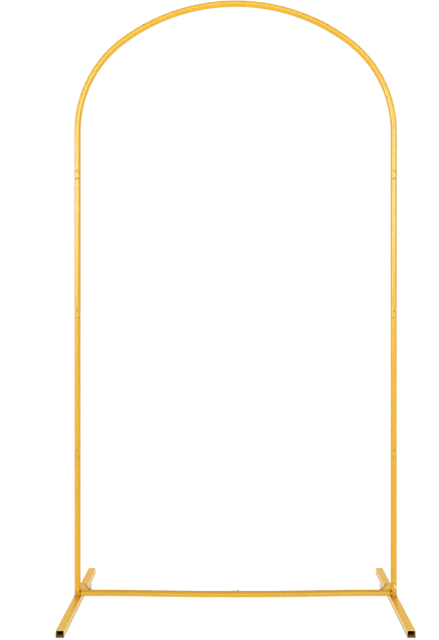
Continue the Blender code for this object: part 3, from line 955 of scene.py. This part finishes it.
screwLook = {
    "radius": 4.3 * mm,
    "height": 2.6 * mm,
    # its head from the top out to the rim, as shares of the radius and the height
    "dome": ((0, 1), (0.3, 0.99), (0.55, 0.95), (0.75, 0.85), (0.89, 0.67), (0.97, 0.45), (1, 0.25),
             (1, 0.08), (0.975, 0)),
    "shank": 2.4 * mm,
    "grip": 4.5 * mm,
    "recessWidth": 1.0 * mm,
    "recessSpan": 4.6 * mm,
    "recessDepth": 1.5 * mm,
    "recessTaper": (0.62, 1.12),     # its span at the bottom, and above the head
    "smooth": math.radians(40),
    "seat": 11.05 * mm,
}


def turned(profile, count=48):
    # profile of radius and height from the top down, both ends on the axis
    shape = bmesh.new()
    rings = []
    for radius, height in profile:
        section = roundSection(radius, count) if radius else [(0, 0)]
        rings.append(addRing(shape, [(u, v, height) for u, v in section]))
    for first, second in zip(rings, rings[1:]):
        for index in range(count):
            corners = [first[index - 1], first[index]] if len(first) > 1 else list(first)
            corners += [second[index], second[index - 1]] if len(second) > 1 else second
            shape.faces.new(corners)
    return shape


def applied(name, body, *others):
    # the mesh that an object's modifiers make of it
    bpy.context.view_layer.update()
    mesh = bpy.data.meshes.new_from_object(body.evaluated_get(bpy.context.evaluated_depsgraph_get()))
    mesh.name = name
    for loose in (body, *others):
        bpy.data.objects.remove(loose)
    return mesh


def combined(name, body, other, operation):
    # one mesh of two, by an exact Boolean
    first = inScene(name, body)
    second = inScene(name, other)
    join = first.modifiers.new("join", "BOOLEAN")
    join.operation = operation
    join.solver = "EXACT"
    join.object = second
    return applied(name, first, second)


def screwMesh():
    height = screwLook["height"]
    shank = screwLook["shank"]
    grip = screwLook["grip"]
    profile = [(screwLook["radius"] * out, height * rise) for out, rise in screwLook["dome"]]
    profile += [(shank, 0), (shank, -grip * 0.8), (shank * 0.5, -grip), (0, -grip)]
    head = bakeMesh(turned(profile), "screwHead")
    arm = screwLook["recessWidth"] / 2
    span = screwLook["recessSpan"] / 2
    outline = [(arm, arm), (arm, span), (-arm, span)]
    for turn in range(3):
        outline += [(-y, x) for x, y in outline[-3:]]

    def narrowed(value, taper):
        return value * taper if abs(value) > arm else value

    cross = bmesh.new()
    levels = zip((height - screwLook["recessDepth"], height + mm), screwLook["recessTaper"])
    prism(cross, *(addRing(cross, [(narrowed(x, taper), narrowed(y, taper), z) for x, y in outline])
                   for z, taper in levels))
    mesh = combined("panHeadScrew", head, bakeMesh(cross, "recess", False), "DIFFERENCE")
    mesh.shade_smooth()
    mesh.set_sharp_from_angle(angle=screwLook["smooth"])
    return mesh


def aimed(place, direction, turn=0):
    facing = direction.to_track_quat("Z", "Y").to_matrix().to_4x4()
    return Matrix.Translation(place) @ facing @ Matrix.Rotation(turn, 4, "Z")


screwPlaces = {
    "crownInset": 29 * mm,               # along the bend, from the crown's seam
    "crownTilt": math.radians(22),       # outwards from the front
    "legRise": 27 * mm,                  # above the seam
    "barInset": 22 * mm,
    "barLift": 0.4 * mm,
    "barTurn": 0.6,
    "firstTurn": 1.45,                   # each screw stopped at its own angle
    "nextTurn": 1.1,
}
screw = screwMesh()
places = []
for side, sign in sides.items():
    point = archPath(sign * (crownSeam + screwPlaces["crownInset"]))[0]
    outwards = (point - Vector((0, 0, crownCentreZ))).normalized()
    tilt = screwPlaces["crownTilt"]
    direction = front * math.cos(tilt) + outwards * math.sin(tilt)
    places.append((f"crownScrew.{side}", f"crown_screw_{side}", point, direction))
    for name, node, seam in (("shoulderScrew", "shoulder_screw", "upperSeam"),
                             ("upperPoleScrew", "upper_pole_screw", "middleSeam"),
                             ("middlePoleScrew", "middle_pole_screw", "lowerSeam")):
        point = Vector((sign * legX, 0, stand[seam] + screwPlaces["legRise"]))
        places.append((f"{name}.{side}", f"{node}_{side}", point, front))
for index, (name, node, point, direction) in enumerate(places):
    turn = screwPlaces["firstTurn"] + screwPlaces["nextTurn"] * index
    matrix = aimed(point + direction * screwLook["seat"], direction, turn)
    addPiece(name, screw, [bronzeScrew], [node], matrix)
point = barPoint(barSeam + screwPlaces["barInset"]) + up * (screwLook["seat"] + screwPlaces["barLift"])
matrix = aimed(point, up, screwPlaces["barTurn"])
addPiece("crossbarScrew", screw, [bronzeScrew], ["crossbar_screw"], matrix)
print("screws ready")


# Nuts and wing bolts


nut = {
    "flats": 10 * mm,
    "height": 4 * mm,
    "bore": 2.6 * mm,
    "lead": 0.6 * mm,                    # chamfer of the bore
    "chamfer": 4.85 * mm,
    "slope": math.tan(math.radians(30)),
    "foot": 1.2 * mm,
    "steps": 72,
    "wear": 0.35,
    "weld": 2.0 * mm,
    "weldHalf": 2.7 * mm,                # half of its length
    "weldSteps": 40,
    "smooth": math.radians(38),
    "seat": 11.3 * mm,                   # from the tube's axis
}


def nutMesh(name, tubeAxis):
    # hexagon nut with its axis on Z, its foot cut to the tube it is welded on
    sector = math.pi / 3

    def saddle(x, y):
        return onTube(x if tubeAxis == "y" else y) - nut["seat"]

    shape, wear = newShape()
    columns = []
    top = nut["height"]
    for index in range(nut["steps"]):
        angle = math.tau * index / nut["steps"]
        rim = nut["flats"] / 2 / math.cos((angle % sector) - sector / 2)
        drop = max(rim - nut["chamfer"], 0) * nut["slope"]
        stations = [
            (nut["bore"], top - nut["lead"]),
            (nut["bore"] + nut["lead"], top),
            (nut["chamfer"] - 0.15 * mm, top),          # from here small steps that round its edges
            (nut["chamfer"], top - 0.02 * mm),
            (rim - 0.08 * mm, top - max(drop - 0.06 * mm, 0.03 * mm)),
            (rim, top - max(drop, 0.1 * mm) - 0.05 * mm),
            (rim, nut["foot"]),
            (rim, None),                                # on the tube
            (nut["bore"], None),
        ]
        points = []
        for radius, height in stations:
            x = radius * math.cos(angle)
            y = radius * math.sin(angle)
            points.append((x, y, saddle(x, y) if height is None else height))
        columns.append(addRing(shape, points, wear, nut["wear"]))
    for first, second in zip(columns, columns[1:] + columns[:1]):
        joinRings(shape, first, second)
    # a short bead along two opposite flats
    for sign in (-1, 1):
        y = sign * nut["flats"] / 2
        toe = y + sign * nut["weld"]
        stations = []
        for index in range(nut["weldSteps"] + 1):
            x = nut["weldHalf"] * (2 * index / nut["weldSteps"] - 1)
            corner = Vector((x, y, saddle(x, y)))
            stations.append((corner, Vector((x, toe, saddle(x, toe))), corner + up * nut["weld"]))
        beadRings(shape, wear, tapered(stations), False, 5 + sign)
    mesh = bakeMesh(shape, name)
    mesh.set_sharp_from_angle(angle=nut["smooth"])
    return mesh


bolt = {
    "shank": 3 * mm,
    "boss": 4.5 * mm,
    "bossLength": 9 * mm,
    # the boss from its top down, as shares of its radius and length
    "bossShape": ((0, 1), (0.55, 1), (0.74, 0.97), (0.84, 0.9), (0.93, 0.5), (1, 0.06), (0.98, 0), (0, 0)),
    "bossSteps": 40,
    "neck": 3 * mm,              # thread seen between nut and boss
    "span": 24 * mm,
    "rise": 5.5 * mm,
    "tip": 4.2 * mm,
    "tipArc": (-50, 190),        # first angle of a wing's tip and how far it turns, in degrees
    "tipSteps": 24,
    "wingFoot": (0.9, 0.22),     # where a wing leaves the boss, as shares of its radius and length
    "wingTop": (0.62, 0.93),
    "thick": 2.2 * mm,
    "thickness": (1.25, 0.35),   # share of it at the boss, and how much less at the tips
    "pitch": 1 * mm,
    "threadDepth": 0.30 * mm,
    "threadShape": (0.12, 0.7),  # width of its flat root, and of its flanks
    "threadSteps": (110, 36),    # along it and round it
    "threadTop": 0.8 * mm,       # inside the boss
    "threadOut": 1.3 * mm,       # past the nut's height
    "point": 0.9 * mm,
    "pointShare": 0.72,
    "voxel": 0.24 * mm,
    "soften": 6,
    "smooth": math.radians(50),
}


def wingPlate():
    boss = bolt["boss"]
    length = bolt["bossLength"]
    tip = bolt["tip"]
    reach = bolt["span"] / 2
    tipX = reach - tip
    tipZ = length / 2 + bolt["rise"]
    firstTurn, arc = bolt["tipArc"]
    footShare, footRise = bolt["wingFoot"]
    topShare, topRise = bolt["wingTop"]
    outline = [(0, length * footRise), (boss * footShare, length * footRise)]
    for step in range(bolt["tipSteps"] + 1):
        angle = math.radians(firstTurn + arc * step / bolt["tipSteps"])
        outline.append((tipX + tip * math.cos(angle), tipZ + tip * math.sin(angle)))
    outline.append((boss * topShare, length * topRise))
    outline += [(-x, z) for x, z in reversed(outline) if x > 0]
    most, less = bolt["thickness"]
    shape = bmesh.new()
    plates = []
    for side in (-1, 1):
        points = []
        for x, z in outline:
            half = bolt["thick"] / 2 * (most - less * min(abs(x) / reach, 1))
            points.append((x, side * half, z))
        plates.append(addRing(shape, points))
    prism(shape, *plates)
    return bakeMesh(shape, "wings", False)


def threadMesh():
    # a shank with a real screw thread, from inside the boss down to its point
    top = bolt["threadTop"]
    reach = bolt["neck"] + nut["height"] + bolt["threadOut"]
    rows, count = bolt["threadSteps"]
    root, flank = bolt["threadShape"]
    shape = bmesh.new()
    rings = []
    for row in range(rows + 1):
        height = top - (top + reach) * row / rows
        point = min((height + reach) / bolt["point"], 1)
        points = []
        for index in range(count):
            angle = math.tau * index / count
            turn = (height / bolt["pitch"] - angle / math.tau) % 1
            ridge = min(max((1 - abs(turn * 2 - 1) - root) / flank, 0), 1)
            radius = bolt["shank"] - bolt["threadDepth"] * (1 - ridge)
            radius *= bolt["pointShare"] + (1 - bolt["pointShare"]) * point
            points.append((radius * math.cos(angle), radius * math.sin(angle), height))
        rings.append(addRing(shape, points))
    for first, second in zip(rings, rings[1:]):
        joinRings(shape, first, second)
    shape.faces.new(rings[0])
    shape.faces.new(rings[-1])
    return bakeMesh(shape, "thread")


def castWings():
    # boss and wings grown together, with the soft inner corners of a casting
    profile = [(bolt["boss"] * out, bolt["bossLength"] * rise) for out, rise in bolt["bossShape"]]
    boss = bakeMesh(turned(profile, bolt["bossSteps"]), "boss")
    rough = inScene("roughWings", combined("roughWings", boss, wingPlate(), "UNION"))
    remesh = rough.modifiers.new("remesh", "REMESH")
    remesh.mode = "VOXEL"
    remesh.voxel_size = bolt["voxel"]
    soften = rough.modifiers.new("soften", "SMOOTH")
    soften.factor = 0.5
    soften.iterations = bolt["soften"]
    return applied("castWings", rough)


clamps = {
    "socketHeight": 69.3 * mm,
    "socketTurn": math.radians(118),
    "stubReach": 44 * mm,                # from the leg's axis
    "stubTilt": math.radians(45),        # from upright towards the back
    "stubTurn": {"left": math.radians(125), "right": math.radians(55)},
}
wingBolt = combined("wingBolt", castWings(), threadMesh(), "UNION")
wingBolt.shade_smooth()
wingBolt.set_sharp_from_angle(angle=bolt["smooth"])
nuts = {"socket": nutMesh("socketNut", "y"), "stub": nutMesh("stubNut", "x")}
for side, sign in sides.items():
    leg = Vector((sign * legX, 0, 0))
    tilt = clamps["stubTilt"]
    spots = [
        ("socket", leg + up * clamps["socketHeight"], Vector((0, -sign, 0)), clamps["socketTurn"]),
        ("stub", leg + up * stubZ + Vector((-sign, 0, 0)) * clamps["stubReach"],
         Vector((0, math.sin(tilt), math.cos(tilt))), clamps["stubTurn"][side]),
    ]
    for name, point, direction, turn in spots:
        seat = point + direction * nut["seat"]
        matrix = aimed(seat, direction)
        addPiece(f"{name}Nut.{side}", nuts[name], gold, [f"{name}_nut_{side}"], matrix)
        matrix = aimed(seat + direction * (nut["height"] + bolt["neck"]), direction, turn)
        addPiece(f"{name}WingBolt.{side}", wingBolt, [zincPlate],
                 [f"{name}_wing_bolt_{side}"], matrix)
print("nuts and wing bolts ready")


# Floor, light and camera


studio = {
    "floorRadius": 40,
    "floorGlow": 0.92,       # what the camera sees of the floor beside its lit part
    "floorWhite": 0.30,
    "bounce": 0.80,          # the floor as the stand sees it
    "bounceGlow": 0.42,
    "horizon": 0.32,         # light from the walls, and from overhead
    "overhead": 0.62,
    "frontWall": 4.4,        # more of it from low behind the camera
    "frontAim": (-0.06, -0.998, 0),
    "frontEdge": (0.72, 1.0),
    "frontTop": (0.0, 0.40),
    "gridSpread": math.radians(60),
    "lamps": {
        # two behind grids, that only show in the gloss
        "leftGloss": {"place": (-4.3, -4.4, 2.1), "look": (-0.3, 0, 1.4), "size": (5.6, 2.2), "power": 66},
        "rightGloss": {"place": (2.0, -5.8, 2.5), "look": (0.3, 0, 1.4), "size": (5.0, 1.8), "power": 48},
    },
}
white = rgb(1, 1, 1)


def floorPaint():
    # white to the camera and to reflections, and it keeps the shadow of the stand
    paint = Paint(bpy.data.materials.new("paleFloor"))

    def glowing(shade, strength):
        pale = paint.node("ShaderNodeBsdfDiffuse", None, {"Color": rgb(shade, shade, shade)})
        glow = paint.node("ShaderNodeEmission", None, {"Color": white, "Strength": strength})
        return paint.node("ShaderNodeAddShader", None, {0: pale, 1: glow})

    plain = glowing(studio["bounce"], studio["bounceGlow"])
    bright = glowing(studio["floorWhite"], studio["floorGlow"])
    surface = paint.node("ShaderNodeMixShader", None, {0: paint.seen(), 1: plain, 2: bright})
    paint.node("ShaderNodeOutputMaterial", None, {"Surface": surface})
    paint.owner.cycles.emission_sampling = "NONE"
    return paint.owner


shape = bmesh.new()
bmesh.ops.create_circle(shape, cap_ends=True, segments=96, radius=studio["floorRadius"])
floor = inScene("floor", bakeMesh(shape, "floor", False))
floor.data.materials.append(floorPaint())

world = bpy.data.worlds.new("whiteStudio")
bpy.context.scene.world = world
air = Paint(world)
ahead = air.node("ShaderNodeTexCoord", out="Generated")
height = air.part(ahead, 2)
soft = air.step(height, 0, 0.8, studio["horizon"], studio["overhead"])
wall = air.step(air.vectors("DOT_PRODUCT", ahead, studio["frontAim"]), *studio["frontEdge"])
soft = soft + wall * air.step(height, *studio["frontTop"], studio["frontWall"], 0)
strength = soft + air.seen() * (1 - soft)
backdrop = air.node("ShaderNodeBackground", None, {"Color": white, "Strength": strength})
air.node("ShaderNodeOutputWorld", None, {"Surface": backdrop})

for name, box in studio["lamps"].items():
    light = bpy.data.lights.new(name, "AREA")
    light.shape = "RECTANGLE"
    light.size, light.size_y = box["size"]
    light.energy = box["power"]
    light.spread = studio["gridSpread"]
    softBox = inScene(name, light)
    softBox.location = box["place"]
    aim = Vector(box["look"]) - Vector(box["place"])
    softBox.rotation_euler = aim.to_track_quat("-Z", "Y").to_euler()
    softBox.visible_camera = False
    softBox.visible_diffuse = False

view = {"place": (0, -2.465, 1.143), "lens": 37.95, "film": 36, "shift": (-0.0252, -0.0469)}
camera = bpy.data.cameras.new("camera")
camera.lens = view["lens"]
camera.sensor_width = view["film"]
camera.shift_x, camera.shift_y = view["shift"]
cameraObject = inScene("camera", camera)
cameraObject.location = view["place"]
cameraObject.rotation_euler = (math.pi / 2, 0, 0)
bpy.context.scene.camera = cameraObject
bpy.context.scene.view_settings.view_transform = "Standard"
print("studio ready,", len(shown), "pieces")
